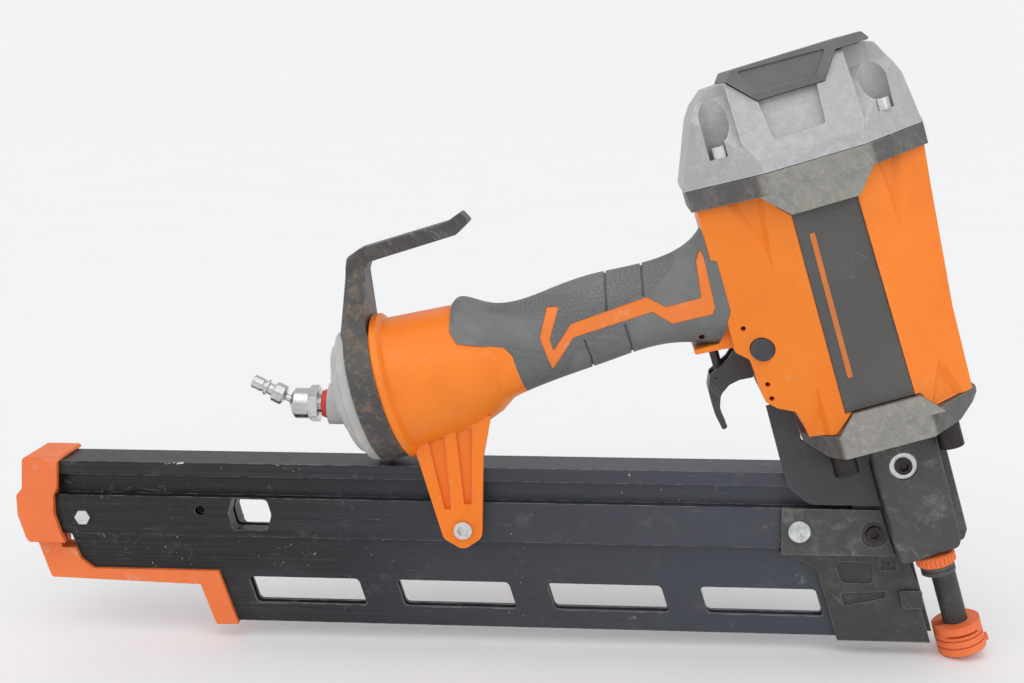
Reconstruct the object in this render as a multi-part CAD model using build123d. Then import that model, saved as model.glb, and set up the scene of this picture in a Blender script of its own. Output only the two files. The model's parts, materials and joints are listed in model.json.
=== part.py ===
"""Pneumatic framing nailer: a strip magazine, a slanted driver body, a handle and a swivel air plug.

Row frame, millimetres: X runs along the magazine towards the nose, Z is square to the magazine
and points up, Y is across the tool with its mid-plane at Y = 0. The origin is the centre of the
work-contact pad's face. The driver axis leans LEAN degrees from Z.
Driver coordinates: r across the driver axis (positive towards the front), s up the driver axis.
"""
import os
from math import acos, cos, hypot, pi, radians, sin, tan

from build123d import *

os.makedirs("parts", exist_ok=True)

# ---------------------------------------------------------------- driving dimensions
LEAN = 16.7                       # driver axis from the magazine's normal, degrees

# driver group (r, s)
BORE_R = 27.0                     # cylinder sleeve bore
SLEEVE_R = 29.5                   # cylinder sleeve outside
SLEEVE_S = (153.2, 290.0)
PISTON_S = (270.0, 286.0)         # piston at rest, top of the stroke
BLADE_R = 3.6                     # driver blade
BLADE_TIP_S = 110.0
BUMPER_S = (151.0, 164.0)
NAIL_R = 5.0                      # drive channel in the nose

# body shell
BODY_HALF = 50.0                  # half width of the body across Y
FACE_R = (-34.0, 1.0)             # flat side faces that carry the panels
COLLAR_S = (285.0, 296.0)         # dark collar under the cap
PAD_S = 272.0                     # lower edge of the collar's pads
FLANGE_S = (141.0, 163.5)         # dark flange above the nose
SCREW_SPOTS = [(-59.0, -37.0), (23.0, -37.0), (-59.0, 37.0), (23.0, 37.0)]
FLANGE_BOLTS = [(-40.0, -33.0), (16.5, -33.0), (-40.0, 33.0), (16.5, 33.0)]
SCREW_SEAT = 309.0                # seat height of the cap's screws
SCREW_HOLE = 3.05

# handle
HANDLE_S = 240.0                  # handle axis height
BELL_S = 235.5                    # rear bell axis height
BELL_R = 40.5                     # bell flange radius
RING_R = (-284.0, -269.6)         # hook ring position along r

# magazine (X, Z)
MAG_REAR = -523.0
MAG_TOP = 104.6
BAND_HALF = 12.0                  # half widths of the band, the top rail, the groove and the web
TOP_HALF = 13.0
GROOVE_HALF = 6.0
WEB_HALF = 4.5
RAIL_Z = 96.6                     # lower edges of the top rail, the groove, the band and the web
GROOVE_Z = 83.9
BAND_Z = 60.5
MAG_FOOT = 6.4
NAIL_HALF = 2.15                  # half width of the nail channel
HEAD_HALF = 4.3                   # half width of the head track
WINDOW_X = -413.1                 # first window's upper rear corner
WINDOW_PITCH = 87.7
WINDOW_LENGTH = 65.6
WINDOW_Z = (17.5, 33.7)
WINDOW_LEAN = 5.0
BRACKET_BOLT = (-55.4, 70.4)      # bracket bolt (x, z)
RIVET = (-96.5, 71.4)             # bracket rivet (x, z)
ARM_SCREW = (-284.1, 69.8)        # support arm's screw (x, z)
CAP_NUT = (-506.8, 70.9)          # rear cap's screw (x, z)

# nose and contact trip
WHEEL_Y = -18.2                   # depth wheel's axis beside the drive channel
WHEEL_RADIUS = 10.9
WHEEL_R = -4.5                    # and its place along r
POST_R = 3.5
WHEEL_S = (60.5, 66.3)
TUBE_R = 6.9                      # contact tube
PAD_R = 13.4                      # contact pad
COVER_SCREW = (-9.6, 120.9)       # cover screw (r, s)

# trigger
PIVOT = (-65.6, 205.2)            # trigger pivot (r, s)
VALVE_R = -90.0                   # trigger valve axis
LEVER_PIN = (-92.4, 191.2)        # trip lever's pin in the trigger

# swivel air plug (X, Z)
SWIVEL_Z = 137.4
BALL_X = -380.0
PLUG_TILT = 25.9

# ---------------------------------------------------------------- outlines
# side profile (r, s) of the driver body
BODY_SIDE = [(-79.0, 285.0), (42.6, 285.0), (40.6, 264.6), (35.6, 199.0), (35.2, 153.4),
             (-54.4, 153.4), (-55.8, 162.4), (-57.6, 168.6, 3.0), (-66.2, 171.9, 3.0),
             (-71.3, 176.2, 3.0), (-73.2, 200.7, 4.0), (-83.2, 208.8, 4.0), (-99.0, 211.2),
             (-99.0, 222.0), (-79.0, 234.0)]
# r, low, high, half width
HANDLE_SECTIONS = [(-224.0, 206.0, 269.5, 27.0), (-214.0, 208.0, 272.0, 26.5),
                   (-204.0, 211.0, 266.0, 25.0), (-192.0, 213.0, 262.6, 22.5),
                   (-170.0, 215.0, 263.4, 20.5), (-146.0, 216.5, 265.0, 20.0),
                   (-120.0, 217.5, 263.4, 20.0), (-102.0, 214.5, 263.6, 21.0),
                   (-88.0, 209.5, 267.0, 23.5), (-76.0, 208.5, 277.0, 27.0)]
GRIP_SKIN = 3.0                   # thickness of the rubber
# edge of the rubber grip (r, s)
GRIP_TRIM = [(-221.4, 273.6), (-224.6, 260.0, 3.0), (-222.0, 252.8, 3.0), (-198.8, 242.8, 3.0),
             (-195.8, 237.0, 3.0), (-194.4, 200.0), (-84.8, 200.0), (-84.8, 213.6, 1.0),
             (-70.6, 230.2, 1.0), (-76.4, 282.8), (-96.0, 300.0), (-221.4, 300.0)]
# finger grooves (r, s)
GRIP_GROOVES = [[(-134.2, 275.0), (-135.0, 264.0), (-139.0, 246.0), (-140.2, 246.4), (-136.2, 264.4),
                 (-135.4, 275.0)],
                [(-113.8, 275.0), (-114.4, 264.0), (-118.0, 248.0), (-119.2, 248.4), (-115.6, 264.4),
                 (-115.0, 275.0)],
                [(-155.0, 234.0), (-154.4, 224.0), (-157.0, 205.0), (-158.2, 205.4), (-155.6, 224.0),
                 (-156.2, 234.4)],
                [(-131.6, 236.0), (-131.4, 226.0), (-134.0, 205.0), (-135.2, 205.4), (-132.6, 226.0),
                 (-132.8, 236.4)]]
# edge of the painted neck behind the grip (r, s)
REAR_TRIM = [(-245.0, 300.0), (-221.4, 300.0), (-221.4, 273.6), (-224.6, 260.0, 3.0), (-222.0, 252.8, 3.0),
             (-198.8, 242.8, 3.0), (-195.8, 237.0, 3.0), (-194.4, 200.0), (-245.0, 200.0)]
# zig-zag stripe (r, s)
INLAY = [(-177.3, 222.5), (-178.9, 242.0), (-170.6, 257.0), (-164.0, 255.6), (-173.6, 239.6),
         (-173.4, 233.4), (-160.3, 244.8), (-117.0, 247.5), (-108.3, 239.4), (-89.2, 239.4),
         (-86.6, 259.0), (-82.9, 264.6), (-81.9, 260.6), (-83.2, 232.2), (-85.4, 229.0),
         (-107.5, 229.2), (-116.1, 238.6), (-161.0, 237.0)]
# sunk facets at the flank corners (r, s)
SCALLOPS = [[(-50.0, 245.0), (-67.6, 294.0), (-44.0, 294.0)],
            [(-43.8, 182.5), (-60.2, 149.0), (-43.6, 149.0)],
            [(17.8, 247.0), (12.6, 294.0), (31.0, 294.0)],
            [(20.2, 178.0), (6.6, 150.0), (32.0, 150.0)]]
SCALLOP_DEPTH = 2.4
SCALLOP_TAPER = 62.0
# side profile (r, s) of the cap
CAP_SIDE = [(-83.0, 296.3), (-83.0, 299.0), (-70.0, 331.0, 5.0), (-65.7, 338.0, 3.0),
            (-58.0, 344.5, 3.0), (-46.0, 345.0), (24.0, 345.0, 3.0), (29.0, 343.0, 3.0),
            (39.4, 324.0, 5.0), (43.6, 300.0, 4.0), (44.8, 296.3)]
# cross profile (Y, s) of the cap
CAP_END = [(-54.0, 296.3), (-53.0, 303.0, 6.0), (-38.5, 345.5, 6.0), (38.5, 345.5, 6.0),
           (53.0, 303.0, 6.0), (54.0, 296.3)]
# r from, r to and shoulder height of the steep corner facets
CAP_CORNERS = ((-90.0, -49.5, 339.0), (11.5, 60.0, 334.0))
# the cap's notch for the deflector (r, s)
NOTCH = [(-48.6, 350.5), (-48.6, 344.6), (-36.0, 331.4), (-1.2, 331.4), (8.2, 344.6), (26.6, 344.6),
         (26.6, 350.5)]
# deflector (r, s)
DEFLECTOR = [(-44.6, 350.0, 2.0), (-48.2, 345.0, 1.0), (-35.8, 331.8, 1.0), (-1.4, 331.8, 1.0),
             (8.0, 345.0), (26.0, 345.0, 1.0), (22.6, 350.0, 2.0)]
# nose cover (r, s)
COVER_SIDE = [(-25.2, 139.4), (-24.4, 69.0, 4.0), (-22.4, 66.2, 3.0), (8.4, 68.4, 4.0),
              (10.4, 73.0, 4.0), (11.0, 139.4)]
# support arm (x, z)
ARM_SIDE = [(-313.0, 132.0), (-310.4, 114.4), (-304.5, 94.8), (-295.2, 64.0, 6.0),
            (-284.0, 57.6, 6.0), (-273.4, 65.0, 6.0), (-272.5, 110.9), (-268.0, 136.0)]
# its hollows (x, z)
ARM_POCKETS = [[(-303.6, 121.2, 1.0), (-294.2, 123.8, 1.0), (-290.8, 81.4, 1.0), (-294.4, 81.4, 1.0)],
               [(-287.8, 127.2, 1.0), (-278.5, 129.2, 1.0), (-279.3, 84.8, 1.0), (-283.4, 84.4, 1.0)]]
# rear cap (x, z)
END_OUTER = [(-517.2, 107.2, 1.5), (-517.6, 105.0),
             (-519.0, 104.9, 1.0), (-520.2, 88.6), (-522.6, 84.4), (-523.2, 73.6), (-519.2, 60.0),
             (-517.8, 57.4), (-512.4, 43.2, 3.0), (-505.0, 37.4, 3.0), (-429.9, 37.4), (-419.4, 4.9),
             (-432.4, 4.5, 1.0), (-441.0, 29.0, 1.0), (-530.6, 31.6, 2.0), (-538.2, 55.5),
             (-540.5, 58.6, 1.0), (-544.6, 72.2, 2.0), (-544.6, 84.0, 2.0), (-541.0, 88.3),
             (-539.6, 107.2, 3.0)]
# front cheek (x, z)
GUARD_SIDE = [(-106.0, 57.0), (-89.9, 50.3, 4.0), (-84.3, 44.7, 4.0), (-71.8, 4.9), (-19.9, 4.9),
              (-26.0, 25.0), (-24.1, 25.3), (-28.0, 38.0), (-36.0, 57.0)]

# ---------------------------------------------------------------- frames
CL = cos(radians(LEAN))
SL = sin(radians(LEAN))
SIDE = Plane(origin=(0, 0, 0), x_dir=(CL, 0, SL), z_dir=(0, -1, 0))
FLAT = Plane(origin=(0, 0, 0), x_dir=(1, 0, 0), z_dir=(0, -1, 0))


def at(r, s, y=0.0):
    """Row point of driver coordinates (r, s) at y."""
    return (r * CL - s * SL, y, r * SL + s * CL)


def across(s):
    """Plane square to the driver axis at s: local x is r, local y is Y."""
    return Plane(origin=at(0, s), x_dir=(CL, 0, SL), z_dir=(-SL, 0, CL))


def along(r, s):
    """Plane square to the handle axis: local x is Y, local y is s, normal towards the front."""
    return Plane(origin=at(r, s), x_dir=(0, 1, 0), z_dir=(CL, 0, SL))


# ---------------------------------------------------------------- helpers
def corner(before, here, after, radius):
    """Start, middle and end of the arc that rounds one corner."""
    ax, ay = before[0] - here[0], before[1] - here[1]
    bx, by = after[0] - here[0], after[1] - here[1]
    la, lb = hypot(ax, ay), hypot(bx, by)
    ax, ay, bx, by = ax / la, ay / la, bx / lb, by / lb
    half = acos(max(-1.0, min(1.0, ax * bx + ay * by))) / 2
    reach = radius / tan(half)
    mx, my = ax + bx, ay + by
    lm = hypot(mx, my)
    far = radius / sin(half) - radius
    start = (here[0] + ax * reach, here[1] + ay * reach)
    middle = (here[0] + mx / lm * far, here[1] + my / lm * far)
    end = (here[0] + bx * reach, here[1] + by * reach)
    return start, middle, end


def outline(points):
    """Closed face from (x, y) or (x, y, corner radius) points."""
    count = len(points)
    stops = []
    for i, point in enumerate(points):
        if len(point) == 3 and point[2] > 0:
            stops.append(corner(points[i - 1], point, points[(i + 1) % count], point[2]))
        else:
            stops.append((point[:2],) * 3)
    edges = []
    for i in range(count):
        start, middle, end = stops[i]
        if start != end:
            edges.append(ThreePointArc(start, middle, end))
        follow = stops[(i + 1) % count][0]
        if hypot(follow[0] - end[0], follow[1] - end[1]) > 1e-6:
            edges.append(Line(end, follow))
    return make_face(edges)


def prism(points, low, high, plane=SIDE):
    """Side outline carried across Y from low to high."""
    face = plane * outline(points)
    return extrude(Pos(0, high, 0) * face, amount=high - low, dir=(0, -1, 0))


def both(points, low, high, plane=SIDE):
    """The same outline on the near side and on the far side, low and high taken outwards."""
    return prism(points, low, high, plane) + prism(points, -high, -low, plane)


def tower(points, low, high):
    """Plan outline (r, Y) carried up the driver axis."""
    return extrude(across(low) * outline(points), amount=high - low, dir=(-SL, 0, CL))


def rod(radius, low, high, r=0.0, y=0.0):
    """Round bar along the driver axis."""
    plane = across(low)
    return extrude(plane * Pos(r, y) * Circle(radius), amount=high - low, dir=(-SL, 0, CL))


def tube(outer, inner, low, high, r=0.0, y=0.0):
    """Round tube along the driver axis."""
    return rod(outer, low, high, r, y) - rod(inner, low - 1, high + 1, r, y)


def bar(radius, low, high, s, y=0.0):
    """Round bar along the handle axis."""
    plane = along(low, s)
    return extrude(plane * Pos(y, 0) * Circle(radius), amount=high - low, dir=(CL, 0, SL))


def pin(radius, low, high, r, s, plane=SIDE):
    """Round bar across the tool."""
    face = plane * Pos(r, s) * Circle(radius)
    return extrude(Pos(0, high, 0) * face, amount=high - low, dir=(0, -1, 0))


def hexagon(flats, low, high, r, s, plane=SIDE):
    """Hexagonal bar across the tool."""
    face = plane * Pos(r, s) * RegularPolygon(flats / 2, 6, major_radius=False)
    return extrude(Pos(0, high, 0) * face, amount=high - low, dir=(0, -1, 0))


def octagon(rear, front, half, rear_half, front_half, flat, soft=3.0):
    """Plan outline with flat sides between the two flat limits and bevelled ends."""
    points = [(rear, -rear_half, soft), (flat[0], -half, soft), (flat[1], -half, soft),
              (front, -front_half, soft), (front, front_half, soft), (flat[1], half, soft),
              (flat[0], half, soft), (rear, rear_half, soft)]
    return points


def save(shape, node):
    export_step(shape, "parts/" + node + ".step")


# ---------------------------------------------------------------- driver body


def handle_form(skin):
    """Rounded handle bar through its sections, taken in by skin."""
    faces = []
    for r, low, high, half in HANDLE_SECTIONS:
        wide = 2 * (half - skin)
        tall = high - low - 2 * skin
        soft = min(wide, tall) * 0.42
        faces.append(along(r, (low + high) / 2) * RectangleRounded(wide, tall, soft))
    return loft(faces)


def body_block():
    """Faceted driver body between the collar and the flange."""
    plan = octagon(-79.5, 43.0, BODY_HALF, 25.0, 22.0, FACE_R, 2.0)
    return prism(BODY_SIDE, -BODY_HALF, BODY_HALF) & tower(plan, 140.0, 285.0)


def flank_point(r, s, side):
    """Row point on a bevelled flank of the body; side is -1 near and 1 far."""
    if r < FACE_R[0]:
        depth = BODY_HALF + (r - FACE_R[0]) * (BODY_HALF - 25.0) / (79.5 + FACE_R[0])
    else:
        depth = BODY_HALF - (r - FACE_R[1]) * (BODY_HALF - 22.0) / (43.0 - FACE_R[1])
    return Vector(*at(r, s, side * depth))


def scallop(corners, side):
    """Tapered facet sunk in a flank, from three (r, s) corners."""
    points = [flank_point(r, s, side) for r, s in corners]
    normal = (points[1] - points[0]).cross(points[2] - points[0]).normalized()
    if normal.Y * side < 0:
        normal = normal * -1
    lifted = [point + normal * 0.2 for point in points]
    face = Face(Wire.make_polygon(lifted, close=True))
    return Solid.extrude_taper(face, normal * -SCALLOP_DEPTH, SCALLOP_TAPER)


def body_casting():
    """Body and handle in one casting, bored for the sleeve, the air passage and the valve."""
    body = body_block() + handle_form(GRIP_SKIN) + trigger_lip()
    body -= rod(SLEEVE_R + 0.1, 150, 300)
    body -= rod(33.0, 176, 300)
    body -= bar(12.0, -240, -28, HANDLE_S)
    hollow = tower(octagon(-73.0, 37.0, 43.6, 20.0, 17.0, FACE_R, 2.0), 176.0, 290.0)
    body -= hollow & prism([(-74.0, 224.0), (-74.0, 292.0), (38.0, 292.0), (31.0, 180.0),
                            (-50.0, 180.0), (-50.0, 224.0)], -BODY_HALF, BODY_HALF)
    body -= both([(-42.0, 152.5), (-31.2, 164.2), (4.6, 164.2), (15.4, 152.5)], 46.0, 60.0)
    body -= both([(-34.6, 164.0), (2.2, 164.0), (-0.8, PAD_S + 0.4), (-34.8, PAD_S + 0.4)], 48.2, 60.0)
    body -= both([(-48.4, 285.6), (-35.2, PAD_S), (0.2, PAD_S), (10.4, 285.6)], 46.0, 60.0)
    body -= prism([(-110, 180), (-56.5, 180), (-56.5, 213.5, 5), (-79.0, 213.5), (-79.0, 207.9),
                   (-110, 207.9)], -9.2, 9.2)
    body -= rod(8.5, 200, 226, VALVE_R)
    body -= prism([(-70.5, 165), (-58.0, 165), (-58.0, 189), (-70.5, 189)], -14.8, -11.8)
    body -= pin(3.05, -60, 60, *PIVOT)
    for r, s in ((-72.2, 218.1), (-67.8, 185.7), (-67.7, 177.7)):
        body -= pin(1.3, -60, -20, r, s) + pin(1.3, 20, 60, r, s)
    for side in (-1, 1):
        body -= pin(6.4, side * 45 - 20, side * 45 + 20, *PIVOT)
        for corners in SCALLOPS:
            body -= scallop(corners, side)
    return body


def trigger_lip():
    """Lip of the casting that runs back under the front of the grip."""
    return prism([(-76.0, 226.0), (-86.2, 211.2), (-100.1, 211.2, 1.0), (-100.5, 208.8, 1.0),
                  (-85.1, 207.6), (-78.0, 206.6), (-72.6, 199.0), (-66.0, 199.0), (-66.0, 226.0)],
                 -16.0, 16.0)


def trigger_pins():
    """Pivot pin ends: round dark caps in the body's flanks, one each side."""
    return pin(6.1, -34.6, -25.2, *PIVOT) + pin(6.1, 25.2, 34.6, *PIVOT)


def pivot_pin():
    return pin(3.0, -25.0, 25.0, *PIVOT)


def handle_grip():
    """Rubber sleeve over the handle, cut back for the inlays, with finger grooves."""
    grip = handle_form(0.0) + saddle(0.7) - handle_form(GRIP_SKIN)
    grip &= prism(GRIP_TRIM, -45, 45)
    grip -= body_block() + trigger_lip()
    grip -= inlay_prisms()
    grip -= pin(1.6, -60, 60, -94.2, 217.6)
    grip -= rod(8.8, 195, 226, VALVE_R)
    rim = handle_form(-1.0) - handle_form(1.1)
    for groove in GRIP_GROOVES:
        grip -= rim & prism(groove, -45, 45)
    return grip


def saddle(proud):
    """Skin over the back of the bell where the grip runs onto it."""
    return bell_profile([(-226.0, 34.0), (-226.0, 35.2 + proud), (-212.0, 30.5 + proud), (-203.0, 24.6 + proud),
                         (-196.0, 21.6 + proud), (-196.0, 20.4), (-203.0, 23.2), (-212.0, 29.2)])


def inlay_prisms():
    """Zig-zag stripe outline on both sides of the grip."""
    return both(INLAY, 8.0, 40.0)


def grip_inlays():
    band = handle_form(0.4) - handle_form(GRIP_SKIN)
    return band & inlay_prisms()


def collar():
    """Dark collar under the cap with a worn pad on each side."""
    ring = tower(octagon(-82.0, 44.6, 54.4, 27.0, 24.0, (-42.0, 8.0), 3.0), *COLLAR_S)
    ring -= rod(36.0, 280, 300)
    for r, y in SCREW_SPOTS:
        ring -= rod(SCREW_HOLE, 280, 300, r, y)
    pads = both([(-48.0, 285.2), (-34.9, 272.4), (-0.1, 272.4), (10.0, 285.2)], 46.4, 54.4)
    return ring + pads


def nose_flange():
    """Dark flange that carries the nose, with a worn pad on each side and a bumper seat."""
    side = [(-57.0, 148.0, 2.0), (-47.0, FLANGE_S[0], 2.0), (24.0, FLANGE_S[0], 2.0),
            (34.0, 146.0, 2.0), (38.0, 150.0), (38.0, 153.0), (-57.0, 153.0)]
    plan = octagon(-57.2, 38.2, 53.0, 24.0, 22.0, (-40.0, 6.0), 3.0)
    flange = prism(side, -54, 54) & tower(plan, 138.0, 156.0)
    flange += both([(-41.0, 152.5), (-30.9, 163.6), (4.2, 163.6), (14.6, 152.5)], 46.4, 53.0)
    flange -= rod(26.6, 151.0, 160.0)
    flange -= rod(9.0, 135.0, 152.0)
    return flange


def side_panels():
    """Dark recessed panels on the two flat sides."""
    points = [(-34.3, 164.4), (1.9, 164.4), (-0.9, PAD_S), (-34.5, PAD_S)]
    return both(points, 48.2, 49.0)


def panel_stripes():
    """Thin accent stripe laid on each panel."""
    points = [(-28.6, 182.0), (-25.8, 182.0), (-25.8, 260.0), (-28.6, 260.0)]
    return both(points, 49.0, 49.3)


def cap_screen(points, low, high):
    """Face of the cap's cross profile swept along r between two r values."""
    plane = Plane(origin=at(low, 0), x_dir=(0, 1, 0), z_dir=(CL, 0, SL))
    return extrude(plane * outline(points), amount=high - low, dir=(CL, 0, SL))


def cap():
    """Cast cap: facets, four screw pockets, a sunk panel each side and the head chamber."""
    plan = octagon(-83.4, 45.2, 54.2, 26.0, 23.0, (-42.0, 8.0), 3.0)
    shape = prism(CAP_SIDE, -56, 56) & tower(plan, 295.0, 352.0)
    shape &= cap_screen(CAP_END, -90.0, 50.0)
    shape -= prism(NOTCH, -60, 60)
    for low, high, shoulder in CAP_CORNERS:
        steep = cap_screen([(-54.1, 296.0), (-53.0, 303.0), (-30.0, shoulder), (-30.0, 352.0), (30.0, 352.0),
                            (30.0, shoulder), (53.0, 303.0), (54.1, 296.0)], low - 1, high + 1)
        shape -= tower([(low, -60.0), (high, -60.0), (high, 60.0), (low, 60.0)], 303.0, 352.0) - steep
    shape -= prism([(-33.7, 311.1, 1.5), (-6.9, 311.5, 1.5), (-5.3, 332.0), (-35.8, 332.0)], -60, 60) \
        - cap_screen([(-50.2, 296.3), (-49.4, 303.0), (-34.9, 345.5), (34.9, 345.5), (49.4, 303.0),
                      (50.2, 296.3)], -90.0, 50.0)
    for r, y in SCREW_SPOTS:
        shape -= rod(7.2, SCREW_SEAT, 350, r, y)
        shape -= rod(SCREW_HOLE, 290, 350, r, y)
    shape -= rod(35.0, 295, 312)
    hollow = tower(octagon(-75.0, 37.0, 45.5, 20.0, 17.0, (-42.0, 8.0), 2.0), 295.0, 305.0)
    for r, y in SCREW_SPOTS:
        hollow -= rod(8.0, 290, 310, r, y)
    shape -= hollow
    shape -= rod(16.1, 300, 328)
    shape -= tower([(-76.0, -14.0, 6.0), (-45.0, -14.0), (-45.0, 14.0), (-76.0, 14.0, 6.0)], 295, 312)
    return shape


def cap_screws():
    """Socket screws that hold the cap and collar down."""
    screws = []
    for r, y in SCREW_SPOTS:
        screw = rod(5.2, SCREW_SEAT, SCREW_SEAT + 6.0, r, y) + rod(3.0, 288.0, SCREW_SEAT, r, y)
        socket = across(SCREW_SEAT + 3.0) * Pos(r, y) * RegularPolygon(2.6, 6)
        screws.append(screw - extrude(socket, amount=5, dir=(-SL, 0, CL)))
    return Compound(children=screws)


def deflector():
    """Exhaust deflector set in the cap's notch, with a slotted outlet."""
    shape = prism(DEFLECTOR, -44, 44)
    shape &= cap_screen([(-45.4, 331.0), (-38.6, 351.0), (38.6, 351.0), (45.4, 331.0)], -60, 40)
    shape -= prism([(-41.5, 346.5), (-33.6, 335.0), (-3.8, 335.0), (4.8, 346.5)], -36.0, 36.0)
    shape -= prism([(-42.2, 348.6, 1.0), (-33.8, 336.8, 1.0), (-4.4, 335.9, 1.0), (3.6, 347.0, 1.0)],
                   -60, 60) - cap_screen([(-44.3, 331.0), (-37.5, 351.0), (37.5, 351.0), (44.3, 331.0)],
                                         -60, 40)
    for i in range(5):
        y = -26.0 + 13.0 * i
        shape -= prism([(-30.0, 345.0), (-6.0, 345.0), (-6.0, 352.0), (-30.0, 352.0)], y - 2.2, y + 2.2)
    return shape


def cap_gasket():
    ring = tower(octagon(-81.4, 43.6, 53.4, 26.5, 23.5, (-42.0, 8.0), 3.0), 296.0, 296.3)
    for r, y in SCREW_SPOTS:
        ring -= rod(SCREW_HOLE, 280, 300, r, y)
    return ring - rod(36.0, 290, 300)


# ---------------------------------------------------------------- driver parts
def cylinder_sleeve():
    return tube(SLEEVE_R, BORE_R, *SLEEVE_S)


def sleeve_ring():
    """Ring that centres the sleeve's top in the collar."""
    return tube(35.9, SLEEVE_R + 0.05, 285.2, 289.4)


def bumper():
    return tube(26.3, 6.0, *BUMPER_S)


def piston():
    """Piston with its ring groove and a fixed blade."""
    low, high = PISTON_S
    shape = rod(BORE_R - 0.05, low, high)
    groove = tube(BORE_R + 1, 24.0, low + 6.0, low + 10.0)
    return shape - groove - rod(14.0, high - 5, high + 1)


def piston_ring():
    low = PISTON_S[0]
    return tube(BORE_R - 0.05, 24.0, low + 6.0, low + 10.0)


def driver_blade():
    return rod(BLADE_R, BLADE_TIP_S, PISTON_S[0])


def head_valve():
    """Disc over the sleeve with a hollow neck that slides in the cap."""
    return rod(34.0, 290.1, 297.0) + rod(16.0, 297.0, 319.0) - rod(12.0, 293.0, 320.0)


def coil(radius, wire, low, high, turns, r=0.0, y=0.0):
    """Coil spring along the driver axis."""
    pitch = (high - low - 2 * wire) / turns
    path = Helix(pitch=pitch, height=high - low - 2 * wire, radius=radius)
    section = Plane(origin=path @ 0, z_dir=path % 0) * Circle(wire)
    spring = sweep(section, path=path)
    return across(low + wire) * Pos(r, y) * spring


def head_valve_spring():
    return coil(25.0, 1.2, 297.1, 311.9, 3)


# ---------------------------------------------------------------- nose
def nose_casting():
    """Nose body: drive channel, strip entry at the rear and a bore for the contact tube."""
    side = [(-24.0, 140.9), (-24.0, 124.0, 6.0), (-40.0, 118.0, 3.0), (-40.0, 71.5, 3.0),
            (-13.0, 71.5), (-13.0, 66.5, 2.0), (14.0, 66.5, 3.0), (17.0, 72.0, 3.0), (17.0, 140.9)]
    nose = prism(side, -11.6, 11.6)
    nose += prism([(6.0, 73.0, 3.0), (19.4, 71.4, 2.0), (19.4, 112.0, 4.0), (14.0, 140.9),
                   (0.0, 140.9)], 6.0, 16.0)
    nose -= rod(NAIL_R, 60, 145)
    nose -= rod(8.3, 60, 90)
    nose -= prism([(-45.0, 60.0), (0.0, 60.0), (0.0, 107.5), (-45.0, 121.0)], -5.0, 5.0)
    nose -= prism([(-6.0, 71.0), (4.0, 71.0), (4.0, 90.5), (-6.0, 90.5)], -20.0, -4.0)
    nose -= pin(2.5, -20.0, -6.0, *COVER_SCREW)
    nose -= pin(2.5, -20.0, -6.0, *bracket_bolt_spot())
    return nose


def bracket_bolt_spot():
    """Driver coordinates of the bracket's bolt."""
    x, z = BRACKET_BOLT
    return x * CL + z * SL, -x * SL + z * CL


def nose_cover():
    """Worn cover over the trip link on the near side, open at the foot."""
    cover = prism(COVER_SIDE, -27.0, -11.8)
    face = cover.faces().sort_by(Axis.Y)[0]
    cover = fillet(face.edges(), 2.0)
    cover -= prism([(-20.6, 60.0), (6.6, 60.0), (6.6, 117.0), (-20.6, 117.0)], -23.5, -10.0)
    cover -= prism([(-30.0, 94.0), (-4.0, 94.0), (-4.0, 117.0), (-30.0, 140.0)], -17.2, -10.0)
    cover -= pin(7.6, -28.0, -24.4, *COVER_SCREW)
    cover -= pin(2.6, -30.0, -10.0, *COVER_SCREW)
    return cover


def cover_screw():
    screw = pin(4.6, -27.2, -24.4, *COVER_SCREW) + pin(2.5, -24.4, -6.2, *COVER_SCREW)
    return screw - hexagon(5.0, -28.0, -25.2, *COVER_SCREW)


def cover_washer():
    return pin(7.4, -25.4, -24.4, *COVER_SCREW) - pin(4.7, -26.0, -24.0, *COVER_SCREW)


def flange_bolts():
    """Socket bolts under the flange."""
    bolts = []
    for r, y in FLANGE_BOLTS:
        bolt = rod(6.6, 127.5, FLANGE_S[0], r, y)
        socket = across(126.5) * Pos(r, y) * RegularPolygon(3.6, 6)
        bolts.append(bolt - extrude(socket, amount=6, dir=(-SL, 0, CL)))
    return Compound(children=bolts)


def wheel_post():
    """Fixed post for the depth wheel with its round foot."""
    post = rod(POST_R, 55.4, 92.0, WHEEL_R, WHEEL_Y) + rod(9.3, 55.4, 60.1, WHEEL_R, WHEEL_Y)
    post -= tube(11.0, 8.4, 57.2, 58.4, WHEEL_R, WHEEL_Y)
    post += prism([(-9.5, 84.0), (0.5, 84.0), (0.5, 92.0), (-9.5, 92.0)], -23.5, -15.2)
    return post


def depth_wheel():
    """Knurled wheel that turns on the post."""
    low, high = WHEEL_S
    wheel = tube(WHEEL_RADIUS - 0.8, POST_R + 0.05, low, high, WHEEL_R, WHEEL_Y)
    ridges = 26
    for i in range(ridges):
        turn = 2 * pi * i / ridges
        r = WHEEL_R + (WHEEL_RADIUS - 0.9) * cos(turn)
        y = WHEEL_Y + (WHEEL_RADIUS - 0.9) * sin(turn)
        wheel += rod(0.9, low + 0.6, high - 0.6, r, y)
    return wheel


# ---------------------------------------------------------------- contact trip
def contact_tube():
    """Slotted tube that guides the nail and carries the work-contact pad."""
    shape = tube(TUBE_R, 5.2, 3.0, 80.0)
    shape -= prism([(-12.0, 11.0), (0.0, 11.0), (0.0, 82.0), (-12.0, 82.0)], -2.6, 2.6)
    shape += prism([(-5.5, 72.5), (3.5, 72.5), (3.5, 80.0), (-5.5, 80.0)], -12.3, -6.0)
    return shape - rod(5.2, 0.0, 90.0)


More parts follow.
